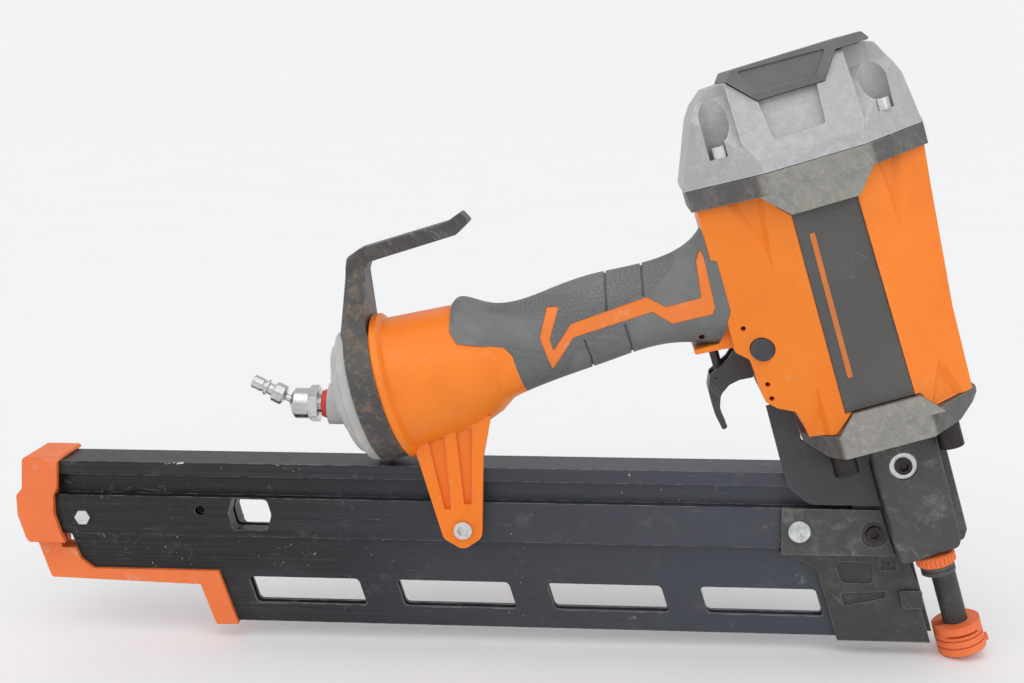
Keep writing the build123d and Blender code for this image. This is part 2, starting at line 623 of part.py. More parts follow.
def contact_pad():
    """Ribbed soft pad on the tube's foot."""
    pad = rod(PAD_R, 0.0, 17.0)
    pad -= rod(TUBE_R, 3.0, 20.0)
    pad -= rod(6.0, -1.0, 4.0)
    for s in (4.2, 8.6):
        pad -= tube(PAD_R + 1, PAD_R - 1.0, s, s + 0.9)
    pad += tower([(12.0, -3.0), (15.0, -2.0), (15.0, 2.0), (12.0, 3.0)], 1.0, 4.2)
    pad -= prism([(-15.0, 10.5), (0.0, 10.5), (0.0, 18.0), (-15.0, 18.0)], -3.2, 3.2)
    pad -= prism([(-11.6, 11.0), (8.6, 11.0), (8.6, 12.4), (-11.6, 12.4)], -15.0, -9.2)
    return pad


def trip_link():
    """Flat link from the contact tube up to the trigger."""
    points = [(-19.0, 72.5), (3.5, 72.5), (3.5, 80.0), (-8.0, 80.0, 1.0), (-8.0, 105.6, 3.0),
              (-34.0, 129.4, 3.0), (-54.0, 132.0, 2.0), (-59.0, 137.0, 2.0), (-59.0, 178.0),
              (-69.0, 178.0), (-69.0, 131.5, 2.0), (-60.0, 129.0), (-41.0, 123.6), (-37.0, 121.0),
              (-19.0, 102.0, 2.0)]
    return prism(points, -14.3, -12.3)


# ---------------------------------------------------------------- trigger and valve
def trigger():
    """Curved finger trigger on its pivot arm."""
    blade = [(-74.0, 203.8), (-79.2, 204.0, 2.0), (-84.0, 199.6, 2.0), (-95.4, 193.8, 2.0),
             (-98.6, 186.6, 5.0), (-98.9, 172.0, 20.0), (-97.0, 161.8, 1.0), (-94.0, 162.6, 1.0),
             (-95.4, 173.8, 10.0), (-92.8, 181.4, 6.0), (-86.8, 185.6, 5.0), (-80.7, 186.8, 4.0),
             (-73.4, 186.2), (-70.0, 192.0), (-62.0, 199.0), (-62.0, 203.8)]
    shape = prism(blade, -8.0, 8.0) + pin(5.6, -8.0, 8.0, *PIVOT)
    shape -= pin(3.05, -10.0, 10.0, *PIVOT)
    shape -= prism([(-71.5, 188.8), (-71.5, 210.0), (-93.0, 210.0), (-95.6, 194.0), (-95.6, 188.4),
                    (-90.5, 187.2)], -5.6, 5.6)
    shape -= pin(1.0, -9.0, 9.0, *LEVER_PIN)
    return shape


def lever_pin():
    return pin(1.0, -8.0, 8.0, *LEVER_PIN)


def trip_lever():
    """Lever inside the trigger, under the valve stem."""
    points = [(-94.8, 189.2, 1.0), (-91.5, 188.4), (-73.0, 190.4, 1.0), (-73.0, 193.6, 1.0),
              (-91.5, 194.2, 1.0), (-94.8, 192.0, 1.0)]
    return prism(points, -3.0, 3.0) - pin(1.05, -5.0, 5.0, *LEVER_PIN)


def valve_body():
    """Trigger valve housing pressed up into the handle."""
    shape = rod(8.4, 208.3, 225.0, VALVE_R)
    return shape - rod(2.65, 200.0, 226.0, VALVE_R) - rod(5.0, 212.0, 222.0, VALVE_R)


def valve_stem():
    return rod(2.6, 194.9, 219.0, VALVE_R) + rod(4.6, 212.3, 214.0, VALVE_R)


def valve_spring():
    return coil(3.9, 0.5, 214.1, 221.9, 4, VALVE_R)


# ---------------------------------------------------------------- rear bell, hook and swivel
def bell_profile(points):
    """Ring of revolution about the handle axis from (r, radius) points."""
    face = SIDE * outline([(p[0], BELL_S + p[1], *p[2:]) for p in points])
    return revolve(face, axis=Axis(at(0, BELL_S), (CL, 0, SL)))


def rear_bell():
    """Flared rear end of the handle with the arm that holds the magazine."""
    bell = bell_profile([(-269.3, 33.05), (-269.3, BELL_R), (-268.0, BELL_R + 1.8), (-264.5, BELL_R + 1.4),
                         (-262.5, 38.4), (-225.5, 35.2), (-212.0, 30.5), (-203.0, 24.6), (-199.0, 23.0),
                         (-199.0, 12.0), (-226.0, 12.0), (-232.0, 31.0), (-240.0, 33.05)])
    arm = prism(ARM_SIDE, -18.6, -13.3, FLAT)
    for points in ARM_POCKETS:
        arm -= prism(points, -20.0, -15.8, FLAT)
    arm += pin(8.6, -14.0, -12.0, *ARM_SCREW, FLAT)
    arm -= pin(3.1, -20.0, -11.0, *ARM_SCREW, FLAT)
    inside = bar(33.0, -290, -232, BELL_S)
    neck = handle_form(0.0) & prism(REAR_TRIM, -40, 40)
    shape = bell + (arm - inside) - handle_form(0.0)
    shape += neck
    shape -= saddle(8.0) & prism(GRIP_TRIM, -45, 45)
    shape -= body_casting_core()
    return shape


def body_casting_core():
    """Handle bar of the body casting where the bell meets it."""
    return handle_form(GRIP_SKIN) + bar(12.0, -240, -190, HANDLE_S)


def arm_screw():
    screw = pin(5.1, -21.4, -18.6, *ARM_SCREW, FLAT) + pin(3.0, -18.6, -4.0, *ARM_SCREW, FLAT)
    return screw - hexagon(6.0, -22.0, -18.9, *ARM_SCREW, FLAT)


def handle_end_cap():
    """Grey end cap: hub for the hook ring, stepped face and a boss for the swivel."""
    cap_form = bell_profile([(-299.0, 0.0), (-299.0, 21.0, 2.0), (-296.0, 23.0), (-295.0, 31.5, 2.0),
                             (-291.4, 34.0), (-290.0, 38.0, 2.0), (-284.4, 38.6), (-284.4, 32.9),
                             (-255.0, 32.9), (-255.0, 28.0), (-292.6, 28.0), (-292.6, 0.0)])
    boss = Plane(origin=(-362.0, 0, SWIVEL_Z), z_dir=(1, 0, 0)) * Circle(11.8)
    boss = extrude(boss, amount=26.0, dir=(1, 0, 0))
    return cap_form + (boss - bar(50.0, -292.0, -200.0, BELL_S))


def swivel_seal():
    return turned([(-366.2, 0.0), (-366.2, 7.4), (-364.2, 8.2), (-362.0, 7.8), (-362.0, 0.0)])


def turned(points):
    """Turned piece on the swivel's axis from (x, radius) points."""
    face = FLAT * outline([(p[0], SWIVEL_Z + p[1], *p[2:]) for p in points])
    return revolve(face, axis=Axis((0, 0, SWIVEL_Z), (1, 0, 0)))


def swivel_barrel():
    """Swivel housing: round barrel, wrench hexagon and a neck against the seal."""
    barrel = turned([(-383.6, 4.75), (-383.6, 6.6), (-381.8, 8.8, 1.0), (-370.6, 8.8), (-370.6, 5.2),
                     (-366.3, 5.2), (-366.3, 0.0), (-373.0, 0.0), (-373.0, 6.3), (-382.0, 6.3)])
    hexa = Plane(origin=(-373.4, 0, SWIVEL_Z), z_dir=(1, 0, 0)) * RegularPolygon(9.4, 6, major_radius=False)
    hexa = extrude(hexa, amount=5.4, dir=(1, 0, 0))
    bevel = turned([(-373.4, 0.0), (-373.4, 9.6), (-372.4, 10.8), (-368.0, 10.8), (-368.0, 0.0)])
    return barrel + ((hexa & bevel) - turned([(-374.0, 0.0), (-374.0, 6.3), (-373.0, 6.3), (-373.0, 0.0)]))


def stem_turned(points):
    """Turned piece on the tilted stem's axis from (distance, radius) points."""
    tilt = radians(PLUG_TILT)
    plane = Plane(origin=(BALL_X, 0, SWIVEL_Z), x_dir=(-cos(tilt), 0, sin(tilt)), z_dir=(0, -1, 0))
    face = plane * outline(points)
    return revolve(face, axis=Axis((BALL_X, 0, SWIVEL_Z), (-cos(tilt), 0, sin(tilt))))


def air_plug():
    """Air plug: ball, neck, wrench body, and the quick-connect nose."""
    plug = stem_turned([(5.0, 0.0), (5.0, 2.0), (8.4, 2.0), (9.4, 5.4), (10.2, 5.95), (15.4, 5.95),
                        (16.2, 5.2), (16.2, 3.4), (19.4, 3.4), (19.9, 4.7), (21.2, 4.7), (21.7, 3.4),
                        (22.4, 3.4), (23.2, 3.88), (29.0, 3.88), (29.4, 3.4), (29.4, 0.0)])
    ball = Pos(BALL_X, 0, SWIVEL_Z) * Sphere(5.7)
    tilt = radians(PLUG_TILT)
    hole = Plane(origin=(BALL_X, 0, SWIVEL_Z), z_dir=(-cos(tilt), 0, sin(tilt))) * Circle(1.9)
    return plug + ball - extrude(hole, amount=40, dir=(-cos(tilt), 0, sin(tilt)))


def rafter_hook():
    """Hook: ring on the end cap's hub, tapering leg and the arm over the handle."""
    low, high = RING_R
    hook = bar(BELL_R, low, high, BELL_S)
    leg = prism([(low, 262.0), (low, 274.0), (-272.6, 308.0), (-270.2, 313.2, 4.0), (-262.0, 316.0, 2.0),
                 (-211.2, 316.2), (-201.8, 319.4, 1.5), (-198.6, 313.0, 1.5), (-208.0, 308.0, 3.0),
                 (-259.4, 307.4, 3.0), (-262.4, 303.0), (high, 275.0), (high, 262.0)], -24, 24)
    taper = Plane(origin=at(-290.0, 0), x_dir=(0, 1, 0), z_dir=(CL, 0, SL))
    taper = extrude(taper * outline([(-24.0, 255.0), (-22.0, 272.0), (-8.0, 303.0, 6.0), (-8.0, 322.0),
                                     (8.0, 322.0), (8.0, 303.0, 6.0), (22.0, 272.0), (24.0, 255.0)]),
                    amount=100.0, dir=(CL, 0, SL))
    hook += leg & taper
    return hook - bar(33.0, low - 1, high + 1, BELL_S)


# ---------------------------------------------------------------- magazine
def window_points(i):
    x = WINDOW_X + i * WINDOW_PITCH
    low, high = WINDOW_Z
    return [(x, high, 2.0), (x + WINDOW_LENGTH, high, 3.5), (x + WINDOW_LENGTH + WINDOW_LEAN, low, 1.5),
            (x + WINDOW_LEAN, low, 3.5)]


def front_x(r, z):
    """X of the line at distance r behind the driver axis, at height z."""
    return (r - z * SL) / CL


def magazine_body():
    """Extruded strip magazine: head track, groove, band and the slim web with its windows."""
    front = -41.0
    lower = -19.0
    web = [(MAG_REAR, BAND_Z), (-517.8, 57.4), (-512.4, 43.2, 3.0), (-505.0, 37.4, 3.0), (-429.9, 37.4),
           (-419.6, MAG_FOOT), (front_x(lower, MAG_FOOT), MAG_FOOT), (front_x(lower, 56.0), 56.0),
           (front_x(front, 56.0), 56.0), (front_x(front, 97.0), 97.0), (MAG_REAR, 97.0)]
    body = prism(web, -WEB_HALF, WEB_HALF, FLAT)
    levels = ((BAND_Z, GROOVE_Z, BAND_HALF), (GROOVE_Z, RAIL_Z, GROOVE_HALF), (RAIL_Z, MAG_TOP, TOP_HALF))
    for low, high, half in levels:
        body += prism([(MAG_REAR, low), (front_x(front, low), low), (front_x(front, high), high),
                       (MAG_REAR, high)], -half, half, FLAT)
    ends = (MAG_REAR - 5.0, 0.0)
    body -= prism([(ends[0], 8.4), (ends[1], 8.4), (ends[1], 97.0), (ends[0], 97.0)], -NAIL_HALF,
                  NAIL_HALF, FLAT)
    body -= prism([(ends[0], 95.4), (ends[1], 95.4), (ends[1], 100.6), (ends[0], 100.6)], -HEAD_HALF,
                  HEAD_HALF, FLAT)
    for low, high in ((ends[0], -426.0), (-391.0, -130.0)):
        body -= both([(low, 64.0), (high, 64.0), (high, 80.6), (low, 80.6)], 6.6, 10.4, FLAT)
    body -= prism([(-516.0, 87.0), (-84.0, 87.0), (-84.0, 93.4), (-516.0, 93.4)], 1.0, 8.0, FLAT)
    for i in range(4):
        body -= prism(window_points(i), -20, 20, FLAT)
    body -= prism([(-418.8, 83.0, 2.0), (-398.4, 83.0, 3.0), (-395.8, 74.0, 4.0), (-398.4, 64.4, 3.0),
                   (-418.8, 64.4, 3.0), (-421.2, 74.0, 4.0)], -20, 20, FLAT)
    body -= prism([(-418.8, 75.0), (-398.4, 75.0), (-398.4, 61.6, 3.0), (-418.8, 61.6, 3.0)], 3.0, 20, FLAT)
    body -= pin(3.0, -20, -6.0, -437.7, 75.8, FLAT)
    body -= pin(3.1, -20, -3.6, *ARM_SCREW, FLAT)
    body -= pin(3.1, -20, -3.6, *RIVET, FLAT) + pin(3.1, 3.6, 20, *RIVET, FLAT)
    body -= pin(2.6, -20, -3.6, *CAP_NUT, FLAT) + pin(2.6, 3.6, 20, *CAP_NUT, FLAT)
    return body


def magazine_end_cap():
    """Moulded rear cap: a deep block over the rails and a slim foot under the web."""
    block = prism([(-545.0, 56.0), (-505.0, 56.0), (-505.0, 114.0), (-545.0, 114.0)], -16.0, 16.0, FLAT)
    foot = prism([(-545.0, 3.0), (-415.0, 3.0), (-415.0, 57.0), (-545.0, 57.0)], -7.0, 7.0, FLAT)
    shape = prism(END_OUTER, -16.0, 16.0, FLAT) & (block + foot)
    shape -= prism([(MAG_REAR - 0.4, 50.0), (-500.0, 50.0), (-500.0, MAG_TOP + 0.2),
                    (MAG_REAR - 0.4, MAG_TOP + 0.2)], -TOP_HALF - 0.05, TOP_HALF + 0.05, FLAT)
    shape -= prism([(-550.0, 0.0), (-410.0, 0.0), (-410.0, 97.0), (-550.0, 97.0)], -NAIL_HALF,
                   NAIL_HALF, FLAT)
    return shape - prism([(-550.0, 95.4), (-500.0, 95.4), (-500.0, 100.6), (-550.0, 100.6)], -HEAD_HALF,
                         HEAD_HALF, FLAT)


def cap_nuts():
    """Hexagonal screws in the magazine's rear, one each side."""
    shape = hexagon(8.0, -14.6, -12.0, *CAP_NUT, FLAT) + hexagon(8.0, 12.0, 14.6, *CAP_NUT, FLAT)
    return shape + pin(2.5, -12.0, -4.0, *CAP_NUT, FLAT) + pin(2.5, 4.0, 12.0, *CAP_NUT, FLAT)


def magazine_guard():
    """Cast front cheeks of the magazine, joined under its foot."""
    guard = prism(GUARD_SIDE, -8.0, 8.0, FLAT)
    guard -= prism([(-110.0, MAG_FOOT), (0.0, MAG_FOOT), (0.0, 60.0), (-110.0, 60.0)], -WEB_HALF,
                   WEB_HALF, FLAT)
    guard -= both([(-75.4, 51.7, 3.0), (-55.0, 51.7, 3.0), (-52.6, 39.4, 3.0), (-71.0, 39.4, 3.0)],
                  6.2, 9.0, FLAT)
    guard -= both([(-71.3, 33.0, 1.0), (-46.0, 34.6, 1.0), (-46.0, 31.0, 1.0), (-69.0, 25.7, 1.0)],
                  6.0, 9.0, FLAT)
    guard -= both([(-50.2, 55.0), (-41.2, 55.0), (-40.6, 47.4), (-49.4, 47.4)], 6.9, 9.0, FLAT)
    guard -= pin(1.3, -9.0, -6.0, -45.4, 51.2, FLAT)
    return guard


def guard_latch():
    """Small catch on the near cheek."""
    return prism([(-39.4, 36.3, 1.0), (-26.6, 36.3, 1.0), (-25.4, 26.0, 1.0), (-36.6, 25.0, 1.0)],
                 -10.4, -8.0, FLAT)


def front_brackets():
    """Plates that tie the magazine to the nose, near and far."""
    points = [(-106.4, 84.6, 1.0), (-53.0, 84.6, 1.0), (-43.4, 58.0, 1.0), (-105.9, 57.5, 1.0)]
    shape = both(points, BAND_HALF, 15.0, FLAT)
    for side in (-1, 1):
        y = side * 15.0
        shape -= pin(7.4, y - 1.4, y + 1.4, *BRACKET_BOLT, FLAT)
        shape -= pin(2.6, y - 5, y + 5, *BRACKET_BOLT, FLAT)
        shape -= pin(3.1, y - 5, y + 5, *RIVET, FLAT)
    return shape


def bracket_bolts():
    shape = pin(4.6, -16.2, -13.6, *BRACKET_BOLT, FLAT) + pin(2.4, -13.6, -6.4, *BRACKET_BOLT, FLAT)
    shape += pin(4.6, 13.6, 16.2, *BRACKET_BOLT, FLAT) + pin(2.4, 11.6, 13.6, *BRACKET_BOLT, FLAT)
    socket = hexagon(4.4, -17.0, -14.6, *BRACKET_BOLT, FLAT) + hexagon(4.4, 14.6, 17.0, *BRACKET_BOLT, FLAT)
    return shape - socket


def bracket_rivets():
    shape = pin(6.05, -16.4, -15.0, *RIVET, FLAT) + pin(3.0, -15.0, -4.0, *RIVET, FLAT)
    return shape + pin(6.05, 15.0, 16.4, *RIVET, FLAT) + pin(3.0, 4.0, 15.0, *RIVET, FLAT)


def link_guard():
    """Plate over the trip link, from the trigger down to the nose."""
    points = [(-71.2, 171.0), (-71.8, 123.9, 10.0), (-62.8, 110.9, 10.0), (-25.8, 99.8), (-25.8, 140.6),
              (-47.2, 140.6), (-57.6, 147.6), (-57.6, 153.2), (-58.6, 167.6), (-66.4, 171.0)]
    return prism(points, -18.6, -16.2)


# ---------------------------------------------------------------- pusher
def pusher():
    """Follower that slides in the nail channel, with its head rail and a tab to the knob."""
    front = -14.6
    plate = [(-76.0, 9.4), (front_x(front, 9.4), 9.4), (front_x(front, 96.0), 96.0), (-112.0, 96.0),
             (-112.0, 62.0), (-76.0, 50.0)]
    shape = prism(plate, -NAIL_HALF + 0.25, NAIL_HALF - 0.25, FLAT)
    rail = [(-112.0, 95.8), (front_x(front, 95.8), 95.8), (front_x(front, 100.2), 100.2), (-112.0, 100.2)]
    shape += prism(rail, -HEAD_HALF + 0.3, HEAD_HALF - 0.3, FLAT)
    shape += prism([(-110.0, 87.4), (-94.0, 87.4), (-94.0, 93.0), (-110.0, 93.0)], 1.0, 15.0, FLAT)
    return shape


def pusher_knob():
    """Thumb pad of the follower on the far side."""
    knob = prism([(-112.0, 85.2, 2.0), (-92.0, 85.2, 2.0), (-92.0, 95.4, 2.0), (-112.0, 95.4, 2.0)],
                 15.0, 24.0, FLAT)
    for x in (-108.0, -104.0, -100.0, -96.0):
        knob -= prism([(x - 0.6, 80.0), (x + 0.6, 80.0), (x + 0.6, 99.0), (x - 0.6, 99.0)], 22.8, 25.0, FLAT)
    return knob


# ---------------------------------------------------------------- write every piece
PIECES = {
    "body_casting": body_casting, "collar": collar, "nose_flange": nose_flange,
    "side_panels": side_panels, "panel_stripes": panel_stripes, "cap": cap,
    "cap_screws": cap_screws, "deflector": deflector, "cap_gasket": cap_gasket,
    "cylinder_sleeve": cylinder_sleeve, "sleeve_ring": sleeve_ring, "bumper": bumper, "piston": piston,
    "piston_ring": piston_ring, "driver_blade": driver_blade, "head_valve": head_valve,
    "head_valve_spring": head_valve_spring, "nose_casting": nose_casting,
    "nose_cover": nose_cover, "cover_screw": cover_screw, "cover_washer": cover_washer,
    "flange_bolts": flange_bolts, "wheel_post": wheel_post, "depth_wheel": depth_wheel,
    "contact_tube": contact_tube, "contact_pad": contact_pad, "trip_link": trip_link,
    "trigger": trigger, "trip_lever": trip_lever, "lever_pin": lever_pin,
    "pivot_pin": pivot_pin, "pivot_caps": trigger_pins, "valve_body": valve_body,
    "valve_stem": valve_stem, "valve_spring": valve_spring, "handle_grip": handle_grip,
    "grip_inlays": grip_inlays, "rear_bell": rear_bell, "arm_screw": arm_screw,
    "handle_end_cap": handle_end_cap, "swivel_seal": swivel_seal,
    "swivel_barrel": swivel_barrel, "air_plug": air_plug, "rafter_hook": rafter_hook,
    "magazine_body": magazine_body, "magazine_end_cap": magazine_end_cap,
    "cap_nuts": cap_nuts, "magazine_guard": magazine_guard, "guard_latch": guard_latch,
    "front_brackets": front_brackets, "bracket_bolts": bracket_bolts,
    "bracket_rivets": bracket_rivets, "link_guard": link_guard, "pusher": pusher,
    "pusher_knob": pusher_knob,
}

for node, make in PIECES.items():
    save(make(), node)
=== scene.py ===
"""Looks of the framing nailer: materials, small surface pieces, floor, light and camera."""

import json
import math

import bpy
from mathutils import Euler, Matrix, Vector


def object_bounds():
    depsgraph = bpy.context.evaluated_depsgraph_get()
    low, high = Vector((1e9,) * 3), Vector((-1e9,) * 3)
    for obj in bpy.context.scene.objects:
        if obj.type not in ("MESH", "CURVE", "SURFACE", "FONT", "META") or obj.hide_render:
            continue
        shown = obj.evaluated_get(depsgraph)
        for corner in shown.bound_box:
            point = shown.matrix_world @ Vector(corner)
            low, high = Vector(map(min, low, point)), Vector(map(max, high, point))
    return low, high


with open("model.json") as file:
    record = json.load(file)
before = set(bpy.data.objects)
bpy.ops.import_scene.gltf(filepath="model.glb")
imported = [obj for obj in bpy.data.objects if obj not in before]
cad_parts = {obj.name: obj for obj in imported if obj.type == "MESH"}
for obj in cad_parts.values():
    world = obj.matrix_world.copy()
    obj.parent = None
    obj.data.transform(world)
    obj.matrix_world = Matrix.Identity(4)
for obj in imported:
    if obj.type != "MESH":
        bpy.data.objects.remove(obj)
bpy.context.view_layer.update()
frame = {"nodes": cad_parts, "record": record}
nodes = frame["nodes"]

MM = 0.001


# ------------------------------------------------------------------ material helper
class Look:
    """A principled material, with short calls for the masks, colours and bumps laid over it."""

    def __init__(self, name, colour, rough=0.5, metal=0.0, soft_edge=0.35, **sockets):
        self.material = bpy.data.materials.new(name)
        self.material.use_nodes = True
        self.tree = self.material.node_tree
        self.tree.nodes.clear()
        output = self.node("ShaderNodeOutputMaterial")
        self.shader = self.node("ShaderNodeBsdfPrincipled")
        self.tree.links.new(self.shader.outputs[0], output.inputs["Surface"])
        self.shader.inputs["Roughness"].default_value = rough
        self.shader.inputs["Metallic"].default_value = metal
        for key, value in sockets.items():
            self.shader.inputs[key.replace("_", " ").replace("Ior", "IOR")].default_value = value
        self.place = self.node("ShaderNodeTexCoord").outputs["Object"]
        self.colour = (*colour, 1.0)
        self.rough = rough
        self.metal = metal
        self.normal = None
        if soft_edge:
            self.normal = self.rounded(soft_edge).outputs["Normal"]

    def node(self, kind, **values):
        """Adds a shader node with the given settings."""
        made = self.tree.nodes.new(kind)
        for key, value in values.items():
            setattr(made, key, value)
        return made

    def feed(self, socket, value):
        """Links a socket, or sets a plain number or colour on it."""
        if isinstance(value, bpy.types.NodeSocket):
            self.tree.links.new(value, socket)
        else:
            socket.default_value = value

    def rounded(self, radius):
        """A node whose normal rounds the edges over radius mm."""
        made = self.node("ShaderNodeBevel", samples=4)
        made.inputs["Radius"].default_value = radius * MM
        return made

    def shifted(self, stretch, shift=(0.0, 0.0, 0.0), turn=(0.0, 0.0, 0.0)):
        """The object's coordinates with a pattern stretched, moved (m) and turned (radians)."""
        made = self.node("ShaderNodeMapping", vector_type="TEXTURE")
        self.feed(made.inputs["Vector"], self.place)
        made.inputs["Scale"].default_value = stretch
        made.inputs["Location"].default_value = shift
        made.inputs["Rotation"].default_value = turn
        return made.outputs[0]

    def noise(self, size, detail=3.0, rough=0.55, stretch=(1, 1, 1), shift=(0, 0, 0), warp=0.0,
              turn=(0, 0, 0)):
        """Noise with features of about size mm, stretched along the axes."""
        made = self.node("ShaderNodeTexNoise")
        self.feed(made.inputs["Vector"], self.shifted(stretch, shift, turn))
        made.inputs["Scale"].default_value = 1000.0 / size
        made.inputs["Detail"].default_value = detail
        made.inputs["Roughness"].default_value = rough
        made.inputs["Distortion"].default_value = warp
        return made.outputs["Fac"]

    def cells(self, size, spread, turn):
        """Distance to the nearest of many points about size mm apart; spread 0 sets them in a grid."""
        made = self.node("ShaderNodeTexVoronoi", feature="F1")
        self.feed(made.inputs["Vector"], self.shifted((1, 1, 1), turn=turn))
        made.inputs["Scale"].default_value = 1000.0 / size
        made.inputs["Randomness"].default_value = spread
        return made.outputs["Distance"]

    def maths(self, operation, a, b=0.0):
        """One operation on two values, with the result held between 0 and 1."""
        made = self.node("ShaderNodeMath", operation=operation, use_clamp=True)
        self.feed(made.inputs[0], a)
        self.feed(made.inputs[1], b)
        return made.outputs[0]

    def both(self, a, b):
        """Mask of where both masks are 1."""
        return self.maths("MULTIPLY", a, b)

    def band(self, value, low, high, start=0.0, end=1.0):
        """0 to 1 as value goes from low to high, or from start to end."""
        made = self.node("ShaderNodeMapRange", interpolation_type="SMOOTHSTEP")
        self.feed(made.inputs["Value"], value)
        made.inputs["From Min"].default_value = low
        made.inputs["From Max"].default_value = high
        made.inputs["To Min"].default_value = start
        made.inputs["To Max"].default_value = end
        return made.outputs[0]

    def along(self, axis):
        """The object's own X, Y or Z in metres."""
        made = self.node("ShaderNodeSeparateXYZ")
        self.feed(made.inputs[0], self.place)
        return made.outputs[axis]

    def edges(self, radius, low=0.02, high=0.16):
        """Mask of the convex and concave edges, about radius mm wide."""
        facing = self.node("ShaderNodeVectorMath", operation="DOT_PRODUCT")
        self.feed(facing.inputs[0], self.rounded(radius).outputs["Normal"])
        self.feed(facing.inputs[1], self.node("ShaderNodeNewGeometry").outputs["Normal"])
        return self.band(self.maths("SUBTRACT", 1.0, facing.outputs["Value"]), low, high)

    def tint(self, mask, colour, amount=1.0):
        """Lays a colour over what is there, where mask is 1."""
        made = self.node("ShaderNodeMix", data_type="RGBA")
        self.feed(made.inputs["Factor"], self.both(mask, amount))
        self.feed(made.inputs[6], self.colour)
        made.inputs[7].default_value = (*colour, 1.0)
        self.colour = made.outputs[2]

    def roughen(self, mask, value):
        """Brings the roughness to value where mask is 1."""
        made = self.node("ShaderNodeMix", data_type="FLOAT")
        self.feed(made.inputs["Factor"], mask)
        self.feed(made.inputs[2], self.rough)
        made.inputs[3].default_value = value
        self.rough = made.outputs[0]

    def bare(self, mask, value):
        """Brings the metallic share to value where mask is 1."""
        made = self.node("ShaderNodeMix", data_type="FLOAT")
        self.feed(made.inputs["Factor"], mask)
        self.feed(made.inputs[2], self.metal)
        made.inputs[3].default_value = value
        self.metal = made.outputs[0]

    def bump(self, height, depth, strength=1.0):
        """Raises the surface by depth mm where height is 1."""
        made = self.node("ShaderNodeBump")
        made.inputs["Strength"].default_value = strength
        made.inputs["Distance"].default_value = depth * MM
        self.feed(made.inputs["Height"], height)
        if self.normal is not None:
            self.feed(made.inputs["Normal"], self.normal)
        self.normal = made.outputs["Normal"]

    def done(self):
        """Feeds what was laid over into the shader and returns the material."""
        self.feed(self.shader.inputs["Base Color"], self.colour)
        if isinstance(self.rough, bpy.types.NodeSocket):
            self.feed(self.shader.inputs["Roughness"], self.rough)
        if isinstance(self.metal, bpy.types.NodeSocket):
            self.feed(self.shader.inputs["Metallic"], self.metal)
        if self.normal is not None:
            self.feed(self.shader.inputs["Normal"], self.normal)
        return self.material


# ------------------------------------------------------------------ materials
DUST = (0.46, 0.44, 0.38)
GRIME = (0.055, 0.048, 0.04)

# where a look changes across a piece: start and end of the change, metres in the part's frame
NOSE_FOOT = (0.060, 0.048)
CASTING_PADS = (0.0500, 0.0530)
CAP_SKIRT = (0.335, 0.305)
HOOK_RING = (0.245, 0.205)
# painted sheen: the magazine turns lighter and bluer from the rear to the front, in place of a
# reflection
RAIL_SHEEN = (-0.46, -0.10)
CHIPS_FRONT = (-0.37, -0.40)
CHIPS_REAR = (-0.48, -0.45)
RIM_NEAR_SIDE = (-0.0108, -0.0118)
RIM_TOP = (0.097, 0.100)


def orange_paint():
    """Glossy orange paint with scuffs, specks of dirt and chipped edges."""
    look = Look("orange_paint", (0.87, 0.195, 0.006), rough=0.38, Coat_Weight=0.12, Coat_Roughness=0.35,
                Specular_IOR_Level=0.35)
    look.tint(look.band(look.noise(70), 0.35, 0.7), (0.90, 0.245, 0.016), 0.6)
    look.tint(look.band(look.noise(45, 5, 0.6), 0.50, 0.74), (0.66, 0.15, 0.01), 0.35)
    scuff = look.band(look.noise(9, 5, 0.7, (3.2, 3.2, 0.8), turn=(0, -0.6, 0)), 0.64, 0.76)
    look.tint(scuff, (0.70, 0.42, 0.25), 0.55)
    speck = look.band(look.noise(1.6, 2, 0.5), 0.72, 0.76)
    patch = look.band(look.noise(35, 2, shift=(0.02, 0.01, 0.03)), 0.5, 0.62)
    dirt = look.both(speck, patch)
    look.tint(dirt, GRIME, 0.75)
    edge = look.edges(1.1)
    chips = look.both(edge, look.band(look.noise(5, 4, 0.7), 0.5, 0.6))
    look.tint(edge, (0.66, 0.16, 0.02), 0.35)
    look.tint(chips, (0.30, 0.25, 0.2), 0.7)
    look.roughen(look.band(look.noise(16, 4), 0.4, 0.7), 0.5)
    look.roughen(scuff, 0.65)
    look.bump(look.noise(1.1, 2), 0.02, 0.5)
    look.bump(scuff, 0.03, 0.35)
    return look.done()


def orange_plastic(name="orange_plastic", colour=(0.80, 0.165, 0.035), rough=0.5):
    """Orange moulding with dust, specks and rubbed edges."""
    look = Look(name, colour, rough=rough)
    look.tint(look.band(look.noise(40), 0.4, 0.7), (0.84, 0.20, 0.05), 0.7)
    dust = look.band(look.noise(13, 5, 0.7, warp=0.5), 0.56, 0.72)
    look.tint(dust, (0.72, 0.36, 0.22), 0.55)
    speck = look.band(look.noise(1.5, 3, 0.6), 0.70, 0.75)
    look.tint(speck, (0.16, 0.07, 0.04), 0.6)
    edge = look.edges(0.8)
    look.tint(look.both(edge, look.band(look.noise(4, 4), 0.42, 0.6)), (0.34, 0.12, 0.06), 0.55)
    look.roughen(dust, 0.7)
    look.bump(look.noise(0.8, 2), 0.025, 0.6)
    look.bump(look.band(look.noise(6, 4, 0.7, (4, 1, 1)), 0.62, 0.7), 0.05, 0.4)
    return look.done()


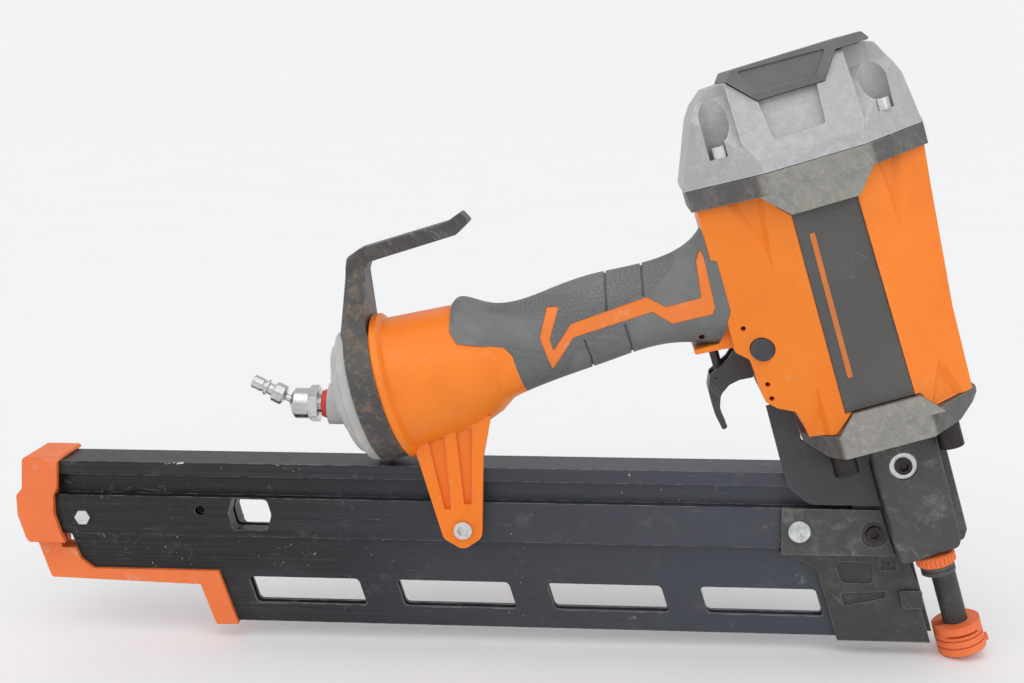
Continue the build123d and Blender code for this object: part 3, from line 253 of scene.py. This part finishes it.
def dark_cast(name="dark_cast", colour=(0.085, 0.082, 0.078), worn=0.6, rough=0.52, pads=0.0, shade=0.0):
    """Dark coated casting, rubbed to a beige grey.

    pads adds wear on the faces that stand far out across Y, and shade darkens the foot.
    """
    look = Look(name, colour, rough=rough)
    look.tint(look.band(look.noise(26, 4), 0.4, 0.7), tuple(c * 1.3 for c in colour), 0.6)
    grain = look.noise(3.2, 7, 0.8)
    rub = look.band(look.noise(16, 7, 0.74), 0.48, 0.72)
    look.tint(look.band(grain, 0.48, 0.62), tuple(c * 1.7 for c in colour), 0.35)
    look.tint(rub, DUST, 0.30 * worn)
    fine = look.band(look.noise(1.3, 5, 0.75), 0.55, 0.68)
    look.tint(look.both(fine, rub), (0.50, 0.48, 0.42), 0.5 * worn)
    if shade:
        look.tint(look.band(look.along(2), *NOSE_FOOT), (0.024, 0.024, 0.024), shade)
    if pads:
        outer = look.band(look.maths("ABSOLUTE", look.along(1)), *CASTING_PADS)
        cover = look.band(look.noise(7, 7, 0.76), 0.18, 0.60)
        look.tint(outer, (0.20, 0.193, 0.170), 0.7 * pads)
        look.tint(look.both(outer, cover), (0.32, 0.31, 0.272), 0.8 * pads)
        look.tint(look.both(outer, look.band(grain, 0.5, 0.6)), (0.44, 0.42, 0.37), 0.35 * pads)
    edge = look.edges(1.2)
    worn_edge = look.both(edge, look.band(look.noise(5, 4, 0.7), 0.36, 0.56))
    look.tint(worn_edge, (0.36, 0.345, 0.30), 0.5 * worn)
    scratch = look.band(look.noise(2.2, 3, 0.6, (14, 14, 0.6), turn=(0.3, 0.9, 0)), 0.68, 0.73)
    look.tint(scratch, (0.5, 0.48, 0.43), 0.3 * worn)
    look.roughen(rub, 0.68)
    look.bump(look.noise(1.0, 3, 0.6), 0.06, 0.7)
    look.bump(grain, 0.05, 0.5)
    return look.done()


def silver_cast():
    """Silver painted casting with stains, scrapes and bright edges, rubbed lighter low down."""
    look = Look("silver_cast", (0.385, 0.387, 0.39), rough=0.45, metal=0.12)
    look.tint(look.band(look.noise(34, 4), 0.4, 0.68), (0.42, 0.42, 0.42), 0.7)
    look.tint(look.band(look.noise(1.1, 3, 0.6), 0.48, 0.64), (0.30, 0.335, 0.34), 0.4)
    stain = look.band(look.noise(16, 7, 0.72), 0.54, 0.72)
    look.tint(stain, (0.30, 0.295, 0.28), 0.22)
    low = look.band(look.along(2), *CAP_SKIRT)
    look.tint(look.both(low, look.band(look.noise(5, 6, 0.75), 0.42, 0.62)), (0.56, 0.555, 0.54), 0.35)
    scrape = look.band(look.noise(3, 4, 0.65, (9, 9, 0.9), turn=(0.2, 0.5, 0)), 0.68, 0.74)
    look.tint(scrape, (0.66, 0.66, 0.64), 0.45)
    edge = look.edges(1.3)
    look.tint(look.both(edge, look.band(look.noise(6, 4), 0.35, 0.6)), (0.68, 0.68, 0.67), 0.6)
    look.roughen(stain, 0.62)
    look.bump(look.noise(1.3, 3, 0.6), 0.05, 0.6)
    return look.done()


def plain_plastic(name, colour, rough=0.55, wear=0.4, grain=0.7):
    """Moulding in one colour with a fine texture, grain mm across, and some wear."""
    look = Look(name, colour, rough=rough)
    look.tint(look.band(look.noise(25, 4), 0.42, 0.7), tuple(c * 1.35 + 0.004 for c in colour), 0.8)
    scuff = look.band(look.noise(6, 5, 0.7, (3, 3, 0.7), turn=(0, 0.8, 0), warp=0.3), 0.6, 0.7)
    look.tint(scuff, (0.28, 0.275, 0.26), 0.35 * wear)
    edge = look.edges(0.7)
    look.tint(look.both(edge, look.band(look.noise(4, 4), 0.4, 0.6)), (0.30, 0.30, 0.29), 0.6 * wear)
    speck = look.band(look.noise(1.2, 2), 0.73, 0.77)
    look.tint(speck, (0.4, 0.39, 0.36), 0.5 * wear)
    look.roughen(scuff, min(1.0, rough + 0.15))
    look.bump(look.noise(grain, 2), 0.03, 0.7)
    return look.done()


def scuffed_hook():
    """Black moulding rubbed beige on its edges, with brown grime on the ring."""
    look = Look("hook_black", (0.050, 0.049, 0.048), rough=0.48)
    look.tint(look.band(look.noise(25, 5), 0.42, 0.7), (0.085, 0.083, 0.080), 0.8)
    ring = look.band(look.along(2), *HOOK_RING)
    brown = look.both(ring, look.band(look.noise(7, 7, 0.76), 0.46, 0.62))
    look.tint(brown, (0.20, 0.135, 0.085), 0.6)
    rub = look.band(look.noise(5, 6, 0.75, (2.5, 2.5, 0.8), turn=(0, 0.8, 0)), 0.55, 0.68)
    look.tint(rub, (0.30, 0.285, 0.25), 0.4)
    edge = look.edges(0.9)
    look.tint(look.both(edge, look.band(look.noise(4, 5, 0.7), 0.38, 0.58)), (0.36, 0.34, 0.30), 0.7)
    look.tint(look.band(look.noise(1.2, 2), 0.72, 0.76), (0.5, 0.48, 0.42), 0.6)
    look.roughen(rub, 0.65)
    look.bump(look.noise(0.8, 3), 0.03, 0.7)
    return look.done()


def rubber_grip():
    """Greenish grey rubber, smooth between patches of fine raised dots, with painted shade on the ground
    between the dots.
    """
    look = Look("grip_rubber", (0.140, 0.146, 0.142), rough=0.6)
    look.tint(look.band(look.noise(30, 4), 0.42, 0.7), (0.185, 0.190, 0.185), 0.8)
    look.tint(look.band(look.noise(9, 6, 0.72), 0.58, 0.75), (0.27, 0.26, 0.23), 0.3)
    dots = look.cells(1.9, spread=0.25, turn=(0.5, 0.35, 0.2))
    dotted = look.band(look.noise(34, 1, 0.4, shift=(0.013, 0, 0.02)), 0.49, 0.54)
    mound = look.both(look.band(dots, 0.16, 0.42, 1.0, 0.0), dotted)
    # painted shade: the ground between the raised dots is painted darker
    look.tint(look.both(look.band(dots, 0.30, 0.5), dotted), (0.085, 0.088, 0.086), 0.45)
    scuff = look.band(look.noise(5, 5, 0.7, (3, 3, 0.8), turn=(0, 0.9, 0)), 0.63, 0.72)
    look.tint(scuff, (0.33, 0.32, 0.29), 0.3)
    look.roughen(look.band(look.noise(12, 4), 0.45, 0.7), 0.72)
    look.bump(mound, 0.10, 0.7)
    look.bump(look.noise(0.7, 2), 0.02, 0.6)
    return look.done()


def anodised():
    """Black anodised extrusion with faint drawing lines along X, scratches, paint specks and a painted
    sheen that turns it lighter and bluer towards the front.
    """
    look = Look("magazine_black", (0.013, 0.0128, 0.0125), rough=0.38, metal=0.4)
    # painted sheen: lighter and bluer towards the front, standing in for a reflection of the sky
    look.tint(look.band(look.along(0), *RAIL_SHEEN), (0.054, 0.062, 0.076), 1.0)
    lines = look.noise(0.7, 4, 0.6, (220, 1, 1))
    look.tint(look.band(lines, 0.35, 0.75), (0.075, 0.08, 0.09), 0.28)
    look.tint(look.band(look.noise(60, 4, 0.6, (1.8, 1, 1)), 0.45, 0.7), (0.06, 0.064, 0.072), 0.35)
    scratch = look.band(look.noise(1.6, 3, 0.6, (26, 1, 0.7), turn=(0, 0.12, 0)), 0.69, 0.73)
    look.tint(scratch, (0.30, 0.30, 0.30), 0.4)
    cross = look.band(look.noise(1.8, 3, 0.6, (0.7, 1, 18), turn=(0, 0.5, 0)), 0.715, 0.75)
    look.tint(cross, (0.36, 0.36, 0.35), 0.35)
    dust = look.band(look.noise(20, 7, 0.74), 0.56, 0.76)
    look.tint(dust, (0.15, 0.15, 0.145), 0.3)
    smear = look.both(look.band(look.noise(11, 7, 0.78), 0.58, 0.70),
                     look.band(look.noise(55, 2, shift=(0.03, 0, 0.05)), 0.50, 0.62))
    look.tint(smear, (0.36, 0.355, 0.34), 0.45)
    paint = look.both(look.band(look.noise(1.7, 2, 0.5), 0.735, 0.765),
                     look.band(look.noise(48, 2, shift=(0.1, 0, 0.02)), 0.48, 0.6))
    look.tint(paint, (0.72, 0.72, 0.70), 0.9)
    edge = look.edges(0.6)
    look.tint(look.both(edge, look.band(look.noise(7, 4), 0.38, 0.6)), (0.42, 0.42, 0.42), 0.75)
    stretch = look.both(look.band(look.along(0), *CHIPS_FRONT), look.band(look.along(0), *CHIPS_REAR))
    rim = look.both(look.band(look.along(1), *RIM_NEAR_SIDE), look.band(look.along(2), *RIM_TOP))
    flakes = look.band(look.noise(5, 4, 0.6, (3, 1, 1)), 0.60, 0.63)
    chips = look.both(look.both(stretch, rim), flakes)
    look.tint(chips, (0.70, 0.70, 0.68), 0.9)
    look.bare(paint, 0.0)
    look.bare(chips, 0.0)
    look.bare(dust, 0.1)
    look.roughen(look.band(lines, 0.4, 0.7), 0.44)
    look.roughen(dust, 0.6)
    look.bump(lines, 0.006, 0.5)
    look.bump(scratch, 0.02, 0.3)
    return look.done()


def metal(name, colour, rough=0.25, lines=(1, 1, 1), stain=0.3):
    """Bare metal with dull patches and dark spots; lines stretches its machining marks."""
    look = Look(name, colour, rough=rough, metal=1.0, soft_edge=0.25)
    look.tint(look.band(look.noise(7, 4, 0.65), 0.45, 0.7), tuple(c * 0.72 for c in colour), 0.6)
    spots = look.band(look.noise(2.2, 4, 0.7), 0.6, 0.7)
    look.tint(spots, (0.16, 0.14, 0.12), stain)
    look.roughen(look.band(look.noise(3, 3, 0.6, lines), 0.4, 0.7), min(1.0, rough + 0.2))
    look.bump(look.noise(0.6, 2, 0.5, lines), 0.01, 0.6)
    return look.done()


def panel_print(name, colour):
    """Printed panel, rubbed and scratched."""
    look = Look(name, colour, rough=0.48)
    look.tint(look.band(look.noise(30, 4), 0.42, 0.7), tuple(c * 1.25 for c in colour), 0.7)
    rub = look.band(look.noise(6, 6, 0.75, warp=0.6), 0.6, 0.72)
    look.tint(rub, tuple(c * 0.6 + 0.1 for c in colour), 0.45)
    line = look.band(look.noise(2, 3, 0.6, (10, 10, 0.8), turn=(0, 0.5, 0)), 0.68, 0.73)
    look.tint(line, tuple(c * 0.6 + 0.14 for c in colour), 0.45)
    look.roughen(rub, 0.65)
    look.bump(look.noise(0.9, 2), 0.02, 0.6)
    return look.done()


def white_rivet():
    """Rivet end with flaking white paint."""
    look = Look("rivet_white", (0.42, 0.44, 0.44), rough=0.45)
    look.tint(look.band(look.noise(4, 5, 0.7), 0.4, 0.62), (0.66, 0.68, 0.67), 0.9)
    look.tint(look.band(look.noise(2.5, 4, 0.7, shift=(0.3, 0, 0)), 0.6, 0.7), (0.2, 0.2, 0.19), 0.6)
    look.bump(look.noise(2, 4), 0.12, 0.6)
    return look.done()


MATERIALS = {
    "orange_paint": orange_paint(),
    "orange_paint_trim": orange_plastic("orange_trim", (0.82, 0.20, 0.022), 0.42),
    "orange_plastic": orange_plastic(),
    "orange_soft": orange_plastic("orange_soft", (0.80, 0.155, 0.04), 0.55),
    "dark_cast": dark_cast(worn=0.9, pads=0.8),
    "nose_dark": dark_cast("nose_dark", (0.050, 0.049, 0.048), worn=0.85, shade=0.6),
    "panel": panel_print("panel", (0.075, 0.073, 0.068)),
    "stripe": panel_print("stripe", (0.56, 0.16, 0.03)),
    "cap_alu": silver_cast(),
    "deflector_dark": plain_plastic("deflector_dark", (0.105, 0.106, 0.108), 0.5, 0.5, 0.9),
    "black_plastic": plain_plastic("black_plastic", (0.035, 0.036, 0.039), 0.42, 0.5),
    "hook_black": scuffed_hook(),
    "gasket": plain_plastic("gasket", (0.03, 0.03, 0.03), 0.7, 0.1),
    "bumper_rubber": plain_plastic("bumper_rubber", (0.04, 0.04, 0.04), 0.75, 0.1),
    "inner_plastic": plain_plastic("inner_plastic", (0.16, 0.16, 0.16), 0.5, 0.2),
    "end_grey": plain_plastic("end_grey", (0.42, 0.417, 0.40), 0.5, 0.6, 1.1),
    "seal_red": plain_plastic("seal_red", (0.50, 0.045, 0.03), 0.5, 0.2),
    "grip_rubber": rubber_grip(),
    "magazine_black": anodised(),
    "screw_steel": metal("screw_steel", (0.70, 0.70, 0.69), 0.3, stain=0.6),
    "tool_steel": metal("tool_steel", (0.42, 0.42, 0.43), 0.28, (1, 1, 12)),
    "black_steel": metal("black_steel", (0.055, 0.05, 0.048), 0.42, stain=0.1),
    "sleeve_alu": metal("sleeve_alu", (0.6, 0.6, 0.61), 0.3, (6, 6, 1)),
    "plug_chrome": metal("plug_chrome", (0.62, 0.615, 0.61), 0.15, stain=0.15),
    "rivet_white": white_rivet(),
}

for entry in frame["record"]["subparts"]:
    if entry["node"] not in nodes:
        continue
    thing = nodes[entry["node"]]
    thing.data.materials.clear()
    thing.data.materials.append(MATERIALS[entry["material_slot"]])


# ------------------------------------------------------------------ floor, light and camera
FLOOR_GAP = 0.0002
FLOOR_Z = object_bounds()[0][2] - FLOOR_GAP
FLOOR_RADIUS = 9.0
FLOOR_SIDES = 96

CENTRE = (-0.25, 0.0, 0.17)

SKY_LIGHT = (0.96, 0.97, 1.0, 1)
SKY_STRENGTH = 0.73
VISIBLE_SKY = (0.89, 0.895, 0.905, 1)

# the camera's sensor and lens in mm, its nearest view and its place in metres, and its angles in degrees
SENSOR_WIDTH = 36.0
LENS = 46.48
NEAREST = 0.02
EYE = (-0.20243, -0.72909, 0.30996)
LOOK_YAW, LOOK_DOWN, LOOK_ROLL = 4.32, 10.49, -0.22


def floor_material():
    look = Look("floor_paper", (0.845, 0.842, 0.84), rough=0.8, soft_edge=0)
    look.tint(look.band(look.noise(420, 2), 0.35, 0.7), (0.855, 0.853, 0.85), 0.8)
    look.bump(look.noise(3, 3), 0.03, 0.3)
    return look.done()


def floor_disc():
    mesh = bpy.data.meshes.new("floor")
    angles = [math.radians(360 / FLOOR_SIDES * i) for i in range(FLOOR_SIDES)]
    ring = [(FLOOR_RADIUS * math.cos(a), FLOOR_RADIUS * math.sin(a), FLOOR_Z) for a in angles]
    mesh.from_pydata(ring, [], [list(range(FLOOR_SIDES))])
    mesh.materials.append(floor_material())
    made = bpy.data.objects.new("floor", mesh)
    bpy.context.scene.collection.objects.link(made)


def aimed(name, data, where, aim):
    """Puts a light in the scene, pointing from where to aim."""
    lamp = bpy.data.objects.new(name, data)
    lamp.location = where
    lamp.rotation_euler = (Vector(aim) - Vector(where)).to_track_quat("-Z", "Y").to_euler()
    bpy.context.scene.collection.objects.link(lamp)


def area_light(name, where, aim, size, power, colour=(1, 1, 1)):
    data = bpy.data.lights.new(name, "AREA")
    data.shape = "RECTANGLE"
    data.size, data.size_y = size
    data.energy = power
    data.color = colour
    aimed(name, data, where, aim)


def soft_sun(name, where, strength, spread, colour=(1, 1, 1)):
    data = bpy.data.lights.new(name, "SUN")
    data.energy = strength
    data.angle = math.radians(spread)
    data.color = colour
    aimed(name, data, where, (0, 0, 0))


def studio_world():
    """Even light from all round, and a brighter sky of its own where the camera sees it."""
    world = bpy.data.worlds.new("studio")
    world.use_nodes = True
    sky = world.node_tree
    lit = sky.nodes["Background"]
    lit.inputs["Color"].default_value = SKY_LIGHT
    lit.inputs["Strength"].default_value = SKY_STRENGTH
    seen = sky.nodes.new("ShaderNodeBackground")
    seen.inputs["Color"].default_value = VISIBLE_SKY
    path = sky.nodes.new("ShaderNodeLightPath")
    either = sky.nodes.new("ShaderNodeMixShader")
    sky.links.new(path.outputs["Is Camera Ray"], either.inputs[0])
    sky.links.new(lit.outputs[0], either.inputs[1])
    sky.links.new(seen.outputs[0], either.inputs[2])
    sky.links.new(either.outputs[0], sky.nodes["World Output"].inputs["Surface"])
    bpy.context.scene.world = world


def studio_camera():
    """Camera at EYE, LOOK_DOWN degrees below level, turned LOOK_YAW about Z and tipped LOOK_ROLL."""
    data = bpy.data.cameras.new("camera")
    data.sensor_width = SENSOR_WIDTH
    data.lens = LENS
    data.clip_start = NEAREST
    camera = bpy.data.objects.new("camera", data)
    camera.location = EYE
    turn = Euler((math.radians(90 - LOOK_DOWN), 0, math.radians(LOOK_YAW)), "XYZ").to_matrix()
    roll = Euler((0, 0, math.radians(LOOK_ROLL)), "XYZ").to_matrix()
    camera.rotation_euler = (turn @ roll).to_euler()
    bpy.context.scene.collection.objects.link(camera)
    bpy.context.scene.camera = camera


floor_disc()
soft_sun("key", (0.7, -1.0, 1.6), strength=0.86, spread=80, colour=(0.98, 0.99, 1.0))
soft_sun("fill", (-1.0, -0.9, 1.2), strength=0.72, spread=80, colour=(1.0, 0.985, 0.96))
area_light("side", (1.25, -0.9, 0.75), CENTRE, size=(0.7, 0.9), power=1.5, colour=(0.90, 0.96, 1.0))
studio_world()
bpy.context.scene.view_settings.view_transform = "Standard"
studio_camera()
